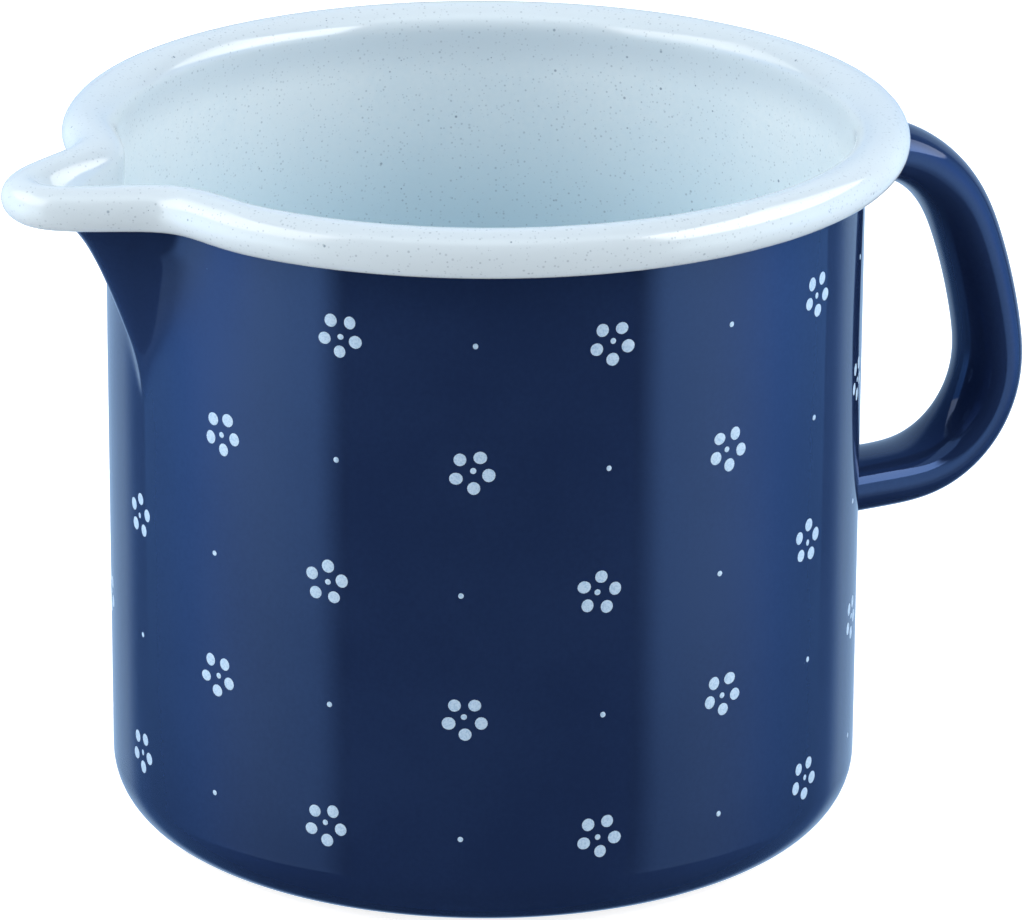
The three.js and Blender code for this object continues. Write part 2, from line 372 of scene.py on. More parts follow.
    def wall_rows(self, face):
        """Plain wall up to the spout's foot, then closer rows over the spout."""
        low = self.base_level + self.mid_corner
        foot = self.spout_foot - self.spout.keel_softness * self.spout.depth
        levels = np.concatenate([np.linspace(low, foot, 9), np.linspace(foot, self.neck_level, 27)[1:]])
        return self.wall_point(levels[:, None], self.angles[None, :], face)

    def neck_rows(self, face, steps=10, end=1.0):
        """From the wall to the curl: a cubic that leaves along the wall and arrives along the curl."""
        angle = self.angles[None, :]
        start = self.wall_point(np.array([[self.neck_level]]), angle, face)
        rise = 1e-5
        leave = start - self.wall_point(np.array([[self.neck_level - rise]]), angle, face)
        leave /= np.linalg.norm(leave, axis=-1, keepdims=True)
        finish, arrive = self.curl_point(self.curl_start(angle), angle, face)
        span = np.linalg.norm(finish - start, axis=-1, keepdims=True)
        t = np.linspace(0, end, steps + 1)[1:, None, None]
        return ((2 * t ** 3 - 3 * t ** 2 + 1) * start + (t ** 3 - 2 * t ** 2 + t) * span * leave
                + (3 * t ** 2 - 2 * t ** 3) * finish + (t ** 3 - t ** 2) * span * arrive)

    def curl_rows(self, face, end, end_at_lip, steps=30):
        """Round the bead from the curl's start to its end."""
        angle = self.angles[None, :]
        first = self.curl_start(angle)
        last = np.radians(end + (end_at_lip - end) * self.at_lip(angle, CURL_SPREAD))
        part = np.linspace(0, 1, steps + 1)[1:, None]
        return self.curl_point(first + part * (last - first), angle, face)[0]

    def sheet_face(self, face, end=-135, end_at_lip=-135):
        """One face of the pot's sheet, from the middle of the base to the end of the curl."""
        rows = (self.base_rows(face), self.corner_rows(face)[1:], self.wall_rows(face)[1:],
                self.neck_rows(face), self.curl_rows(face, end, end_at_lip))
        return np.concatenate(rows)


# The handle

class HandleForm:
    """The handle's middle line and its section."""

    def __init__(self, handle, form):
        self.sizes, self.form = handle, form
        self.wall_radius = form.pot.wall_radius
        self.upper_root = form.bead_level - handle.drop
        self.lower_root = self.upper_root - handle.span

    def middle_line(self, count=130):
        """Points and directions in the XZ plane. The direction runs level, round the upper bend, down the
        leaning and slightly bowed grip, round the lower bend and level again. It is averaged over the ease,
        and the line is its running sum, brought back onto the two roots."""
        sizes = self.sizes
        corner = self.wall_radius + sizes.top
        bends = math.pi / 2 - sizes.lean, math.pi / 2 + sizes.lean
        tangents = sizes.upper_bend * math.tan(bends[0] / 2), sizes.lower_bend * math.tan(bends[1] / 2)
        lower_corner = corner + sizes.span * math.tan(sizes.lean)
        sink = 0.0003
        runs = [corner - tangents[0] - self.wall_radius + sink, sizes.upper_bend * bends[0],
                sizes.span / math.cos(sizes.lean) - sum(tangents), sizes.lower_bend * bends[1],
                lower_corner - tangents[1] - self.wall_radius + sink]
        ends = np.cumsum([0, *runs])
        headings = [0, 0, sizes.bow - bends[0], -sizes.bow - bends[0], -math.pi, -math.pi]
        step = 0.00005
        along = np.arange(0, ends[-1], step)
        heading = np.interp(along, ends, headings)
        window = np.ones(max(1, round(sizes.ease / step)))
        padded = np.pad(heading, len(window), mode="edge")
        for _ in range(2):
            padded = np.convolve(padded, window / len(window), mode="same")
        heading = padded[len(window):-len(window)]
        x = self.wall_radius - sink + np.cumsum(np.cos(heading)) * step
        z = self.upper_root + np.cumsum(np.sin(heading)) * step
        part = along / along[-1]
        x -= (x[-1] - x[0]) * part
        z = self.upper_root + (z - self.upper_root) * sizes.span / (self.upper_root - z[-1])
        places = np.linspace(0, along[-1], count)
        return [np.interp(places, along, values) for values in (x, z, heading)]

    def section(self, around, inset):
        """Depth towards the fingers and width: an ellipse whose finger side is raised to a lower power."""
        power = np.where(np.cos(around) > 0, self.sizes.finger_power, 1)
        deep = np.sign(np.cos(around)) * np.abs(np.cos(around)) ** power
        return (self.sizes.thickness / 2 - inset) * deep, (self.sizes.width / 2 - inset) * np.sin(around)

    def wall_sag(self, y):
        """How far the round wall falls back from its foremost line."""
        return self.wall_radius - np.sqrt(self.wall_radius ** 2 - y ** 2)

    def tube_face(self, inset, columns=72):
        """The section carried along the middle line, its two ends laid onto the round wall."""
        x, z, heading = (values[:, None] for values in self.middle_line())
        around = 2 * np.pi * np.arange(columns)[None, :] / columns
        deep, wide = self.section(around, inset)
        lead = self.sizes.top / 2
        near_wall = np.clip(1 - (x - self.wall_radius) / lead, 0, 1) ** 2
        across = x + deep * np.sin(heading) - self.wall_sag(wide) * near_wall
        up = z - deep * np.cos(heading)
        return np.stack(np.broadcast_arrays(across, wide, up), axis=-1)


def tube(name, form, inset, thickness, slot):
    """A hollow skin along the handle: its outer face out and its inner face back, joined at both ends."""
    outside, inside = form.tube_face(inset), form.tube_face(inset + thickness)
    rows = np.concatenate([outside, inside[::-1]])
    quads = grid_quads(*rows.shape[:2], close_rows=True, close_columns=True)
    return put_piece(name, rows.reshape(-1, 3), quads, slot)


def weld(name, form, root, finger_side, slot, columns=72, steps=8):
    """A fillet round a root: a quarter round that falls from the handle to the wall, closed inside them."""
    sizes = form.sizes
    around = 2 * np.pi * np.arange(columns) / columns
    deep, wide = form.section(around, 0)
    run = np.stack([np.roll(deep, -1) - np.roll(deep, 1), np.roll(wide, -1) - np.roll(wide, 1)])
    run /= np.linalg.norm(run, axis=0)
    normal = np.stack([run[1], -run[0]])
    roll = np.linspace(0, np.pi / 2, steps + 1)
    sunk = 0.0002
    off = np.concatenate([sizes.weld_leg * (1 - np.sin(roll)), [-sunk, -sunk, sizes.weld_leg]])[:, None]
    stand = np.concatenate([sizes.weld_stand * (1 - np.cos(roll)), [sizes.weld_stand, -sunk, -sunk]])[:, None]
    down, y = deep + off * normal[0], wide + off * normal[1]
    x = form.wall_radius - form.wall_sag(y) + stand
    rows = np.stack(np.broadcast_arrays(x, y, root - finger_side * down), axis=-1)
    quads = grid_quads(*rows.shape[:2], close_rows=True, close_columns=True)
    return put_piece(name, rows.reshape(-1, 3), quads, slot)


# The print

FRONT = math.radians(-120)
BARE = {(-4, 1)}  # column and row with no flower
BARE_BESIDE_SPOUT = (math.radians(25), math.radians(10))  # in the first and the second row
ROW_SHIFTS = (0.7, 0.2, -1.3, -0.7, -1.3)  # degrees that each row is printed further round
WAVE_PER_ROW = 0.25  # degrees that each lower row is spread further
ROW_TILT = 0.0011  # how far the rows run uphill
TURNED_OVER_ROW = 2
PETALS = 5
SWAY = 8  # degrees that a flower hangs out of line
HEART_SLIP = 0.0003
GROWTH, STRETCH = 0.025, 0.03  # usual difference in a spot's size and in its length


def is_left_out(column, row, z, pot_angle, sizes, form, handle):
    """Nothing is printed on the spout, beside it at the top, or where the handle is welded on."""
    from_spout = abs(math.remainder(pot_angle - math.pi, 2 * math.pi))
    if (column, row) in BARE:
        return True
    if row < len(BARE_BESIDE_SPOUT) and from_spout < BARE_BESIDE_SPOUT[row]:
        return True
    reach = sizes.ring + sizes.petal + handle.sizes.weld_leg
    beside = abs(math.remainder(pot_angle, 2 * math.pi)) * form.pot.wall_radius
    near_root = min(abs(z - handle.upper_root), abs(z - handle.lower_root))
    return beside < handle.sizes.width / 2 + reach and near_root < handle.sizes.thickness / 2 + reach


def print_spots(sizes, form, handle):
    """Every printed spot as angle round the pot, height and radius: flowers of petals and a middle dot take
    turns with lone dots, like the dark squares of a chequerboard."""
    spots = []
    for column in range(-sizes.columns // 2, sizes.columns - sizes.columns // 2):
        for row in range(sizes.rows):
            bearing = 2 * math.pi * column / sizes.columns
            aside = ROW_SHIFTS[row % len(ROW_SHIFTS)] + WAVE_PER_ROW * row * math.sin(2 * bearing)
            pot_angle = FRONT + bearing + math.radians(aside)
            z = sizes.first_row - sizes.row_gap * row - ROW_TILT * math.sin(bearing)
            if is_left_out(column, row, z, pot_angle, sizes, form, handle):
                continue
            if (column + row) % 2 == 0:
                spots.append((pot_angle, z, sizes.dot))
                continue
            turned = math.radians(SWAY) * math.sin(3 * column + row)
            if row == TURNED_OVER_ROW:
                turned += math.pi / PETALS
            off = math.radians(70 * column + 40 * row)
            heart = HEART_SLIP * math.cos(off) / form.pot.wall_radius, HEART_SLIP * math.sin(off)
            spots.append((pot_angle + heart[0], z + heart[1], sizes.heart))
            for petal in range(PETALS):
                way = turned + petal * 2 * math.pi / PETALS
                aside = sizes.ring * math.sin(way) / form.pot.wall_radius
                spots.append((pot_angle + aside, z - sizes.ring * math.cos(way), sizes.petal))
    return np.array(spots)


def print_mesh(sizes, form, handle, sides=16):
    """Every spot is a low closed lens bent round the wall: a top point, two rings and a point underneath.
    Their outlines are circles, each a little larger or longer than another by chance."""
    spots = print_spots(sizes, form, handle)
    chance = np.random.default_rng(7)
    around = 2 * np.pi * np.arange(sides) / sides
    rings = np.array([[0.72, 0.85], [1.0, -0.35]])
    flat = rings[:, :1] * np.ones(sides)
    local_u = np.concatenate([[0], (flat * np.cos(around)).ravel(), [0]])
    local_v = np.concatenate([[0], (flat * np.sin(around)).ravel(), [0]])
    height = np.concatenate([[1.0], np.repeat(rings[:, 1], sides), [-0.7]])
    size = spots[:, 2:] * (1 + chance.normal(0, GROWTH, (len(spots), 1)))
    longer = chance.normal(0, STRETCH, (len(spots), 1))
    angle = spots[:, :1] + size * (1 + longer) * local_u / form.pot.wall_radius
    z = spots[:, 1:2] + size * (1 - longer) * local_v
    radius = form.pot.wall_radius + sizes.lift * np.broadcast_to(height, angle.shape)
    points = np.stack([radius * np.cos(angle), radius * np.sin(angle), z], axis=-1)
    here, after = ring_pairs(sides, True)
    top, inner, outer, under = 0, 1 + here, 1 + sides + here, 1 + 2 * sides
    inner_next, outer_next = 1 + after, 1 + sides + after
    fan = np.stack([np.full(sides, top), inner, inner_next, inner_next], axis=-1)
    band = np.stack([inner, outer, outer_next, inner_next], axis=-1)
    back = np.stack([np.full(sides, under), outer_next, outer, outer], axis=-1)
    lens = np.concatenate([fan, band, back])
    quads = lens[None] + np.arange(len(spots))[:, None, None] * len(local_u)
    return points.reshape(-1, 3), quads.reshape(-1, 4)


# Materials

GLASS_IOR = 1.52
DUST = (0.22, 0.33, 0.5)
# Where the painted shade over the rim fades in
RIM_FADE = (0.012, 0.005)  # below the rim's top
# Where the painted shade down inside the pot fades in
DEEP_FADE = (0.008, 0.045)


class Nodes:
    """Adds nodes to a tree and joins them by name."""

    def __init__(self, tree):
        self.tree = tree
        self.count = 0

    def add(self, kind, values=None, **settings):
        node = self.tree.nodes.new(kind)
        self.count += 1
        node.location = (self.count % 6 * 220, -(self.count // 6) * 260)
        for key, value in settings.items():
            setattr(node, key, value)
        for key, value in (values or {}).items():
            self.feed(node, key, value)
        return node

    def feed(self, node, key, value):
        socket = node.inputs[key]
        if isinstance(value, bpy.types.NodeSocket):
            self.tree.links.new(value, socket)
        else:
            socket.default_value = value

    def maths(self, operation, *values):
        return self.add("ShaderNodeMath", dict(enumerate(values)), operation=operation).outputs[0]

    def times(self, first, *others):
        for value in others:
            first = self.maths("MULTIPLY", first, value)
        return first

    def blend(self, factor, first, second):
        return self.add("ShaderNodeMix", {0: factor, 2: first, 3: second}, data_type="FLOAT").outputs[0]

    def mix(self, factor, first, second):
        node = self.add("ShaderNodeMix", data_type="RGBA")
        self.feed(node, 0, factor)
        for place, value in ((6, first), (7, second)):
            self.feed(node, place, value if isinstance(value, bpy.types.NodeSocket) else (*value, 1))
        return node.outputs[2]

    def ramp(self, value, low, high, to_low=0.0, to_high=1.0):
        node = self.add("ShaderNodeMapRange", {"Value": value, "From Min": low, "From Max": high,
                                               "To Min": to_low, "To Max": to_high},
                        interpolation_type="SMOOTHSTEP")
        return node.outputs[0]

    def noise(self, place, scale, detail=2.0, rough=0.5):
        return self.add("ShaderNodeTexNoise", {"Vector": place, "Scale": scale, "Detail": detail,
                                               "Roughness": rough}).outputs["Fac"]


def node_group(name, inputs, outputs, build):
    """A shader node group with named inputs and outputs, built once."""
    if name in bpy.data.node_groups:
        return bpy.data.node_groups[name]
    tree = bpy.data.node_groups.new(name, "ShaderNodeTree")
    for key, (kind, default) in inputs.items():
        socket = tree.interface.new_socket(name=key, in_out="INPUT", socket_type=kind)
        if default is not None:
            socket.default_value = default
    for key, kind in outputs.items():
        tree.interface.new_socket(name=key, in_out="OUTPUT", socket_type=kind)
    nodes = Nodes(tree)
    source, sink = nodes.add("NodeGroupInput"), nodes.add("NodeGroupOutput")
    for key, value in build(nodes, source.outputs).items():
        nodes.feed(sink, key, value)
    return tree


FLOAT, VECTOR, COLOUR = "NodeSocketFloat", "NodeSocketVector", "NodeSocketColor"


def glass_flow():
    """The slow waves and the finer orange peel of a fired glass coat, as a height from 0 to 1."""
    def build(nodes, given):
        slow = nodes.noise(given["Place"], given["Wave scale"], 1.0)
        fine = nodes.noise(given["Place"], given["Peel scale"], 2.0)
        return {"Height": nodes.maths("ADD", slow, nodes.times(fine, given["Peel share"]))}
    inputs = {"Place": (VECTOR, None), "Wave scale": (FLOAT, 60.0), "Peel scale": (FLOAT, 600.0),
              "Peel share": (FLOAT, 0.1)}
    return node_group("Glass flow", inputs, {"Height": FLOAT}, build)


def fired_specks():
    """Scattered specks: cells of chance, of which only some hold a speck, each of its own size and
    strength."""
    def build(nodes, given):
        cells = nodes.add("ShaderNodeTexVoronoi", {"Vector": given["Place"], "Scale": given["Scale"]},
                          feature="F1")
        chance = nodes.add("ShaderNodeSeparateColor", {"Color": cells.outputs["Color"]}).outputs
        size = nodes.times(given["Size"], nodes.maths("ADD", chance["Green"], 0.35))
        soft = nodes.times(size, 0.45)
        spot = nodes.ramp(cells.outputs["Distance"], soft, size, 1.0, 0.0)
        held = nodes.maths("LESS_THAN", chance["Red"], given["Share"])
        strength = nodes.maths("ADD", nodes.times(chance["Blue"], 0.7), 0.3)
        return {"Mask": nodes.times(spot, held, strength)}
    inputs = {"Place": (VECTOR, None), "Scale": (FLOAT, 500.0), "Size": (FLOAT, 0.12), "Share": (FLOAT, 0.4)}
    return node_group("Fired specks", inputs, {"Mask": FLOAT}, build)


def coat_depth():
    """Two colours mixed by how thick the glass lies, in soft clouds with a little grain."""
    def build(nodes, given):
        clouds = nodes.noise(given["Place"], given["Cloud scale"], 3.0)
        grain = nodes.noise(given["Place"], given["Grain scale"], 2.0)
        mixed = nodes.maths("ADD", nodes.times(clouds, 0.7), nodes.times(grain, 0.3))
        return {"Colour": nodes.mix(nodes.ramp(mixed, 0.35, 0.65), given["Thick"], given["Thin"])}
    inputs = {"Place": (VECTOR, None), "Cloud scale": (FLOAT, 40.0), "Grain scale": (FLOAT, 1500.0),
              "Thick": (COLOUR, (0, 0, 0, 1)), "Thin": (COLOUR, (1, 1, 1, 1))}
    return node_group("Coat depth", inputs, {"Colour": COLOUR}, build)


def handling_marks():
    """Roughness of a clean but used glaze: a base value, raised a little in faint smears."""
    def build(nodes, given):
        stretched = nodes.add("ShaderNodeMapping", {"Vector": given["Place"], "Scale": (1.0, 1.0, 0.35)})
        smear = nodes.noise(stretched.outputs[0], given["Scale"], 4.0, 0.6)
        lifted = nodes.ramp(smear, 0.5, 0.8, 0.0, given["Lift"])
        return {"Roughness": nodes.maths("ADD", lifted, given["Base"])}
    inputs = {"Place": (VECTOR, None), "Scale": (FLOAT, 25.0), "Base": (FLOAT, 0.1), "Lift": (FLOAT, 0.05)}
    return node_group("Handling marks", inputs, {"Roughness": FLOAT}, build)


def started(name):
    """A material with its own nodes, the shader and the object's own coordinates."""
    material = bpy.data.materials.new(name)
    material.use_nodes = True
    tree = material.node_tree
    nodes = Nodes(tree)
    shader = tree.nodes["Principled BSDF"]
    place = nodes.add("ShaderNodeTexCoord").outputs["Object"]
    return material, nodes, shader, place


def use_group(nodes, group, values):
    node = nodes.add("ShaderNodeGroup", node_tree=group)
    for key, value in values.items():
        nodes.feed(node, key, value)
    return node.outputs[0]


def add_bump(nodes, shader, height, depth):
    bump = nodes.add("ShaderNodeBump", {"Height": height, "Distance": depth})
    nodes.feed(shader, "Normal", bump.outputs[0])


def add_marks(nodes, shader, place, base, lift):
    marks = use_group(nodes, handling_marks(), {"Place": place, "Base": base, "Lift": lift})
    nodes.feed(shader, "Roughness", marks)


def add_flow(nodes, shader, place, wave, peel, peel_share, depth):
    flow = use_group(nodes, glass_flow(), {"Place": place, "Wave scale": wave, "Peel scale": peel,
                                           "Peel share": peel_share})
    add_bump(nodes, shader, flow, depth)
    shader.inputs["IOR"].default_value = GLASS_IOR


def blue_enamel(colours):
    """Deep blue glass: clouds of depth, a few pale dust specks, slow waves and a hard gloss."""
    material, nodes, shader, place = started("Blue enamel")
    depth = use_group(nodes, coat_depth(), {"Place": place, "Cloud scale": 28.0, "Grain scale": 1400.0,
                                            "Thick": (*colours.blue, 1), "Thin": (*colours.blue_thin, 1)})
    dust = use_group(nodes, fired_specks(), {"Place": place, "Scale": 170.0, "Size": 0.028, "Share": 0.10})
    nodes.feed(shader, "Base Color", nodes.mix(nodes.times(dust, 0.35), depth, DUST))
    shader.inputs["Specular Tint"].default_value = (*colours.blue_shine, 1)
    add_marks(nodes, shader, place, base=0.05, lift=0.03)
    add_flow(nodes, shader, place, wave=45.0, peel=420.0, peel_share=0.05, depth=0.00006)
    return material


def white_enamel(colours):
    """Cool white glass with fine grey-blue specks that show the ground coat through. Painted shade makes
    it greyer over the rim and darker and bluer down inside the pot."""
    material, nodes, shader, place = started("White enamel")
    depth = use_group(nodes, coat_depth(), {"Place": place, "Cloud scale": 35.0, "Grain scale": 900.0,
                                            "Thick": (*colours.white, 1), "Thin": (*colours.white_thin, 1)})
    fine = use_group(nodes, fired_specks(), {"Place": place, "Scale": 1500.0, "Size": 0.30, "Share": 0.8})
    large = use_group(nodes, fired_specks(), {"Place": place, "Scale": 560.0, "Size": 0.14, "Share": 0.3})
    mask = nodes.maths("MAXIMUM", nodes.times(fine, 0.4), nodes.times(large, 0.8))
    height = nodes.add("ShaderNodeSeparateXYZ", {"Vector": place}).outputs["Z"]
    # Painted shade: the white turns greyer over the rolled rim
    rim = nodes.ramp(height, *(RIM_TOP - below for below in RIM_FADE))
    # Painted shade: the white turns darker and bluer down inside the pot
    deep = nodes.ramp(height, *(RIM_TOP - below for below in DEEP_FADE))
    glass = nodes.mix(rim, nodes.mix(deep, depth, colours.white_deep), colours.white_rim)
    nodes.feed(shader, "Base Color", nodes.mix(mask, glass, colours.speck))
    add_marks(nodes, shader, place, base=0.08, lift=0.05)
    add_flow(nodes, shader, place, wave=55.0, peel=520.0, peel_share=0.06, depth=0.00008)
    return material


def pale_print(colours):
    """Screen-printed glass colour: finely mottled where the mesh left it thin, duller than the coat."""
    material, nodes, shader, place = started("Pale print")
    mottle = nodes.noise(place, 3200.0, 2.0, 0.6)
    thin = nodes.ramp(mottle, 0.42, 0.66)
    nodes.feed(shader, "Base Color", nodes.mix(thin, colours.print_pale, colours.print_deep))
    add_marks(nodes, shader, place, base=0.28, lift=0.08)
    add_bump(nodes, shader, mottle, 0.00001)
    return material


def bare_steel(colours):
    """Drawn sheet: fine scratches run round the pot, with a dull pickled grain."""
    material, nodes, shader, place = started("Drawn steel")
    stretched = nodes.add("ShaderNodeMapping", {"Vector": place, "Scale": (0.15, 0.15, 1.0)}).outputs[0]
    lines = nodes.noise(stretched, 5200.0, 3.0)
    dark = tuple(part * 0.7 for part in colours.steel)
    nodes.feed(shader, "Base Color", nodes.mix(lines, dark, colours.steel))
    nodes.feed(shader, "Roughness", nodes.ramp(lines, 0.2, 0.8, 0.35, 0.5))
    shader.inputs["Metallic"].default_value = 1.0
    add_bump(nodes, shader, lines, 0.00002)
    return material


MATERIALS = {"blue_enamel": blue_enamel, "white_enamel": white_enamel, "pale_print": pale_print,
             "drawn_steel": bare_steel}


def finish_for(slot):
    """The material of a slot, made the first time that it is asked for."""
    label = "finish_" + slot
    found = bpy.data.materials.get(label)
    if found is None:
        found = MATERIALS[slot](bpy.context.scene.milk_pot.colours)
        found.name = label
    return found


def forms(context):
    settings = context.scene.milk_pot
    form = PotForm(settings.pot, settings.spout)
    return settings, form, HandleForm(settings.handle, form)


# The pieces

class MILKPOT_OT_sheet(Operator):
    """Make the drawn steel sheet"""
    bl_idname = "milk_pot.sheet"
    bl_label = "Steel sheet"

    def execute(self, context):
        settings, form, _ = forms(context)
        half = settings.pot.steel / 2
        piece = shell("pot_sheet", form.sheet_face(half), form.sheet_face(-half), "drawn_steel")
        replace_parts(piece, "steel_pot")
        return {"FINISHED"}


class MILKPOT_OT_lining(Operator):
    """Make the white lining, rolled over the rim and closed against the wall"""
    bl_idname = "milk_pot.lining"
    bl_label = "White lining"

    def execute(self, context):
        settings, form, _ = forms(context)
        ends = {"end": -150, "end_at_lip": -180}
        fused = form.sheet_face(form.lining_face, **ends)
        open_face = form.sheet_face(form.lining_face - settings.pot.lining, **ends)
        piece = shell("pot_lining", fused, open_face, "white_enamel")
        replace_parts(piece, "white_lining")
        return {"FINISHED"}


class MILKPOT_OT_coat(Operator):
    """Make the blue coat of the wall and of the base"""
    bl_idname = "milk_pot.coat"
    bl_label = "Blue coat"

    def execute(self, context):
        settings, form, _ = forms(context)
        slot = "blue_enamel"
        faces = form.coat_face + settings.pot.coat, form.coat_face
        sides = [np.concatenate([form.corner_rows(face), form.wall_rows(face)[1:],
                                 form.neck_rows(face, end=COAT_END)]) for face in faces]
        wall = shell("pot_wall_coat", *sides, slot)
        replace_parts(wall, "blue_wall_coat")
        base = shell("pot_base_coat", *(form.base_rows(face) for face in faces), slot)
        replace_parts(base, "blue_base_coat")
        return {"FINISHED"}


class MILKPOT_OT_handle(Operator):
    """Make the hollow handle, its coat and the two welds"""
    bl_idname = "milk_pot.handle"
    bl_label = "Handle"

    def execute(self, context):
        settings, _, form = forms(context)
        pot = settings.pot
        inner = tube("handle_tube", form, pot.coat + pot.bond, pot.steel, "drawn_steel")
        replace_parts(inner, "handle_shell")
        slot = "blue_enamel"
        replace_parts(tube("handle_coat", form, 0, pot.coat, slot), "blue_handle_coat")
        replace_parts(weld("upper_weld", form, form.upper_root, 1, slot), "upper_handle_weld")
        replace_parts(weld("lower_weld", form, form.lower_root, -1, slot), "lower_handle_weld")
        return {"FINISHED"}


class MILKPOT_OT_print(Operator):
    """Print the flowers and dots on the wall"""
    bl_idname = "milk_pot.print"
    bl_label = "Flower print"

    def execute(self, context):
        settings, form, handle = forms(context)
        put_piece("flower_print", *print_mesh(settings.print, form, handle), "pale_print")
        return {"FINISHED"}


# The stage

FLOOR_SIDE, FLOOR_LEVEL = 4.0, -0.0001
FLOOR_GLOW, FLOOR_GLOW_SEEN = 0.25, 0.85
PANEL_DISTANCE, PANEL_LOW, PANEL_HIGH = 0.75, -0.45, 1.0

# Degrees round from the camera, for the left panel (-1) and the right one (1)
NEAR_EDGE = {-1: 39.5, 1: 43.5}
NEAR_FADE = 12
FAR_FADE, FAR_EDGE, FAR_SHARE = 85, 122, 0.42
COOL_FADE = (62, 102)
NEAR_COOL, FAR_COOL = (0.75, 0.92, 1.0), (0.2, 0.48, 1.0)

# Heights, and shares of the panel's light
FOOT_FADE, FOOT_SHARE = (-0.33, -0.08), 0.35
SOFT_RISE, SOFT_SHARES = (0.2, 0.5), (0.8, 2.1)
TOP_EDGE, TOP_SHINE = (0.33, 0.36), {-1: 1.8, 1: 3.2}

# The room, from its camera side to its far side, and how far up or back each light starts and is full
ROOM_SOFT, ROOM_GLOSS = (0.12, 0.5), (0.1, 0.45)
OVERHEAD_RISE, OVERHEAD = (0.35, 0.9), 0.55
BEHIND_RISE, BEHIND = (-0.62, -0.78), 0.5
DARK_FLOOR_RISE, DARK_FLOOR = (-0.9, -0.5), 0.2
STRIP_RISE, STRIP_FRONT, STRIP = (0.79, 0.82), (0.05, 0.1), 1.6
SIDE_TINT, BEHIND_TINT, STRIP_TINT = (0.2, 0.46, 1.0), (0.45, 0.68, 1.0), (0.8, 0.92, 1.0)


def make_floor():
    """A pale floor that glows a little, so that it stays even. Gloss looks past it, at the panels and the
    room."""
    material, nodes, shader, place = started("Pale floor")
    grain = nodes.noise(place, 300.0)
    nodes.feed(shader, "Base Color", nodes.mix(grain, (0.70, 0.70, 0.70), (0.74, 0.74, 0.74)))
    shader.inputs["Roughness"].default_value = 0.9
    shader.inputs["Specular IOR Level"].default_value = 0.1
    shader.inputs["Emission Color"].default_value = (1, 1, 1, 1)
    seen = nodes.add("ShaderNodeLightPath").outputs["Is Camera Ray"]
    nodes.feed(shader, "Emission Strength", nodes.ramp(seen, 0, 1, FLOOR_GLOW, FLOOR_GLOW_SEEN))
    sides = np.array([(-1, -1), (1, -1), (1, 1), (-1, 1)]) * FLOOR_SIDE
    corners = np.column_stack([sides, np.full(len(sides), FLOOR_LEVEL)])
    floor = new_object("floor", corners, [tuple(range(len(corners)))], material)
    floor.visible_glossy = False


def panel_material(stage, side):
    """Soft light that fades in at the panel's near edge, falls off along it and fades towards its foot. Gloss
    sees it cooler than the rest of the scene does, but for its bright top."""
    material = bpy.data.materials.new("Light panel")
    material.use_nodes = True
    tree = material.node_tree
    tree.nodes.clear()
    nodes = Nodes(tree)
    place = nodes.add("ShaderNodeTexCoord").outputs["Object"]
    turned = nodes.add("ShaderNodeVectorRotate", {"Vector": place, "Angle": -stage.bearing},
                       rotation_type="Z_AXIS").outputs[0]
    x, y, height = nodes.add("ShaderNodeSeparateXYZ", {"Vector": turned}).outputs
    bearing = nodes.maths("ARCTAN2", nodes.times(x, side), nodes.times(y, -1.0))
    around = nodes.times(bearing, 180 / math.pi)
    glossy = nodes.add("ShaderNodeLightPath").outputs["Is Glossy Ray"]
    near = nodes.ramp(around, NEAR_EDGE[side], NEAR_EDGE[side] + NEAR_FADE)
    far = nodes.ramp(around, FAR_FADE, FAR_EDGE, 1.0, FAR_SHARE)
    foot = nodes.ramp(height, *FOOT_FADE, FOOT_SHARE, 1.0)
    soft = nodes.ramp(height, *SOFT_RISE, *SOFT_SHARES)
    shine = nodes.ramp(height, *TOP_EDGE, 1.0, TOP_SHINE[side])
    strength = nodes.times(near, far, foot, nodes.blend(glossy, soft, shine), stage.panel_light)
    cool = nodes.mix(nodes.ramp(around, *COOL_FADE), NEAR_COOL, FAR_COOL)
    cool = nodes.mix(nodes.ramp(height, *TOP_EDGE), cool, (1.0, 1.0, 1.0))
    colour = nodes.mix(glossy, (0.97, 0.99, 1.0), cool)
    glow = nodes.add("ShaderNodeEmission", {"Color": colour, "Strength": strength})
    nodes.add("ShaderNodeOutputMaterial", {"Surface": glow.outputs[0]})
    return material


def make_panel(name, stage, side, steps=24):
    """A tall curved light panel: an upright strip of a cylinder round the pot."""
    around = stage.bearing + side * np.radians(np.linspace(NEAR_EDGE[side], FAR_EDGE, steps + 1))
    levels = np.array([PANEL_LOW, PANEL_HIGH])[:, None]
    x, y = PANEL_DISTANCE * np.sin(around), -PANEL_DISTANCE * np.cos(around)
    rows = np.stack(np.broadcast_arrays(x, y, levels), axis=-1)
    quads = grid_quads(*rows.shape[:2], close_rows=False, close_columns=False)
    panel = new_object(name, rows.reshape(-1, 3), quads.tolist(), panel_material(stage, side))
    panel.visible_camera = False


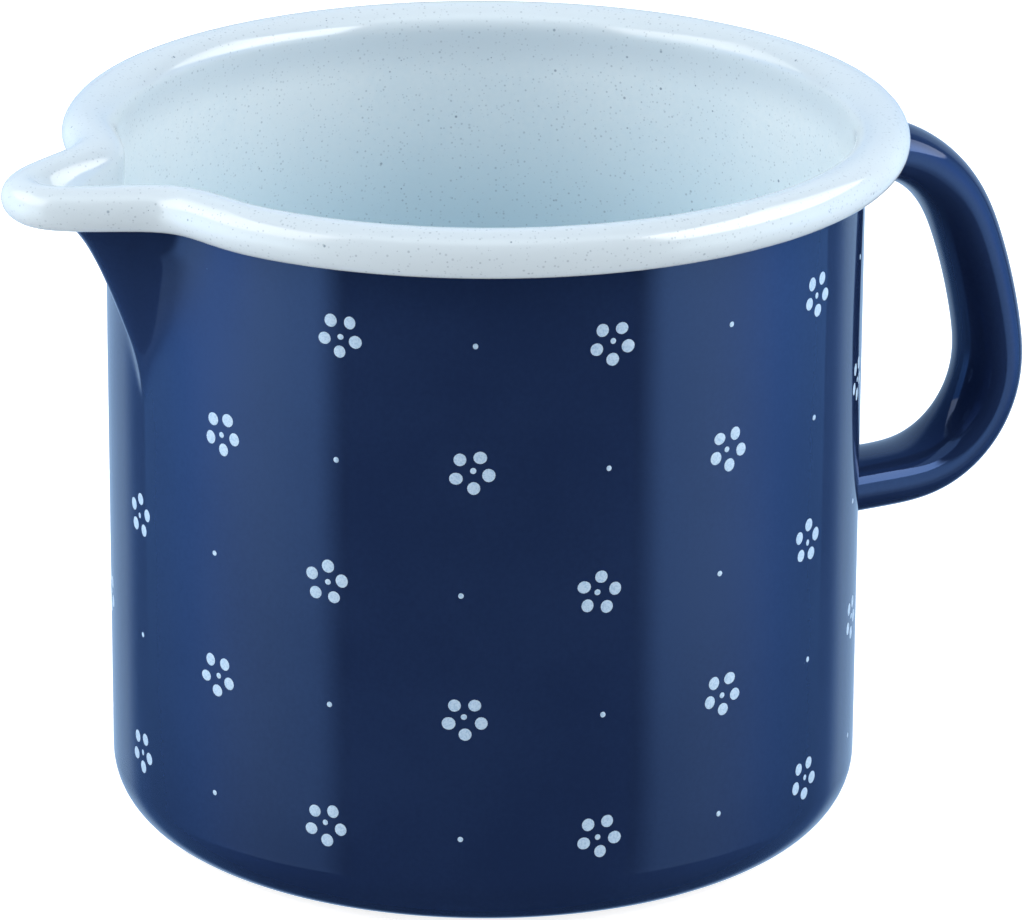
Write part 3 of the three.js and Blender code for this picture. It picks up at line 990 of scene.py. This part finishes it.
def make_room(bearing, brightness):
    """The room: white where it is seen directly; as light it is dim on the camera's side, brighter behind and
    brightest above. Gloss sees it dimmer and cooler, and darker downwards, but for a strip overhead."""
    world = bpy.data.worlds.new("Room")
    bpy.context.scene.world = world
    world.use_nodes = True
    tree = world.node_tree
    tree.nodes.clear()
    nodes = Nodes(tree)
    way = nodes.add("ShaderNodeTexCoord").outputs["Generated"]
    front = (math.sin(bearing), -math.cos(bearing), 0.0)
    facing = nodes.add("ShaderNodeVectorMath", {0: way, 1: front}, operation="DOT_PRODUCT").outputs["Value"]
    up = nodes.add("ShaderNodeSeparateXYZ", {"Vector": way}).outputs["Z"]
    overhead = nodes.ramp(up, *OVERHEAD_RISE, 0.0, OVERHEAD)
    diffuse = nodes.times(nodes.maths("MAXIMUM", nodes.ramp(facing, 0.8, -0.5, *ROOM_SOFT), overhead),
                          brightness)
    behind = nodes.ramp(facing, *BEHIND_RISE)
    strip = nodes.times(nodes.ramp(up, *STRIP_RISE), nodes.ramp(facing, *STRIP_FRONT))
    gloss = nodes.maths("ADD", nodes.ramp(facing, 0.75, 0.0, *ROOM_GLOSS), nodes.times(behind, BEHIND))
    gloss = nodes.times(gloss, nodes.ramp(up, *DARK_FLOOR_RISE, DARK_FLOOR, 1.0))
    gloss = nodes.times(nodes.maths("MAXIMUM", gloss, nodes.times(strip, STRIP)), brightness)
    path = nodes.add("ShaderNodeLightPath").outputs
    seen_glossy, seen_direct = path["Is Glossy Ray"], path["Is Camera Ray"]
    strength = nodes.blend(seen_direct, nodes.blend(seen_glossy, diffuse, gloss), 1.0)
    tint = nodes.mix(strip, nodes.mix(behind, SIDE_TINT, BEHIND_TINT), STRIP_TINT)
    glow = nodes.add("ShaderNodeBackground", {"Color": nodes.mix(seen_glossy, (1, 1, 1), tint),
                                              "Strength": strength})
    nodes.add("ShaderNodeOutputWorld", {"Surface": glow.outputs[0]})


def make_camera(stage):
    """The camera stands off from the middle of the pot and aims a little beside and above it."""
    back = Vector((math.sin(stage.bearing) * math.cos(stage.height_angle),
                   -math.cos(stage.bearing) * math.cos(stage.height_angle), math.sin(stage.height_angle)))
    right = Vector((math.cos(stage.bearing), math.sin(stage.bearing), 0))
    middle = Vector((0, 0, stage.middle))
    aim = middle + right * stage.aim_right + back.cross(right) * stage.aim_up
    camera = bpy.data.objects.new("camera", bpy.data.cameras.new("camera"))
    bpy.context.scene.collection.objects.link(camera)
    camera.location = middle + back * stage.distance
    looking = (aim - camera.location).to_track_quat("-Z", "Y")
    camera.rotation_mode = "QUATERNION"
    camera.rotation_quaternion = looking @ Quaternion((0, 0, 1), stage.roll)
    camera.data.lens = stage.lens
    camera.data.sensor_width = 36
    bpy.context.scene.camera = camera


class MILKPOT_OT_stage(Operator):
    """Set up the camera, the floor and the soft light"""
    bl_idname = "milk_pot.stage"
    bl_label = "Stage"

    def execute(self, context):
        stage = context.scene.milk_pot.stage
        make_camera(stage)
        make_floor()
        make_room(stage.bearing, stage.room_light)
        for name, side in (("left_panel", -1), ("right_panel", 1)):
            make_panel(name, stage, side)
        context.scene.view_settings.view_transform = "Standard"
        return {"FINISHED"}


class MILKPOT_PT_panel(Panel):
    """Lists the pieces and their settings"""
    bl_idname = "MILKPOT_PT_panel"
    bl_label = "Milk pot"
    bl_space_type = "VIEW_3D"
    bl_region_type = "UI"
    bl_category = "Milk pot"

    def draw(self, context):
        settings = context.scene.milk_pot
        for group in ("pot", "spout", "handle", "print", "colours", "stage"):
            box = self.layout.box()
            box.label(text=group.capitalize())
            values = getattr(settings, group)
            for key in values.__annotations__:
                box.prop(values, key)
        for operator in OPERATORS:
            self.layout.operator(operator.bl_idname)


OPERATORS = (MILKPOT_OT_stage, MILKPOT_OT_sheet, MILKPOT_OT_lining, MILKPOT_OT_coat, MILKPOT_OT_handle,
             MILKPOT_OT_print)
CLASSES = (PotSizes, SpoutSizes, HandleSizes, PrintSizes, Colours, StageSizes, MilkPot, *OPERATORS,
           MILKPOT_PT_panel)


def register():
    for entry in CLASSES:
        bpy.utils.register_class(entry)
    bpy.types.Scene.milk_pot = PointerProperty(type=MilkPot)


def unregister():
    del bpy.types.Scene.milk_pot
    for entry in reversed(CLASSES):
        bpy.utils.unregister_class(entry)


def main():
    register()
    bpy.ops.milk_pot.stage()
    bpy.ops.milk_pot.sheet()
    bpy.ops.milk_pot.lining()
    bpy.ops.milk_pot.coat()
    bpy.ops.milk_pot.handle()
    bpy.ops.milk_pot.print()


if __name__ == "__main__":
    main()
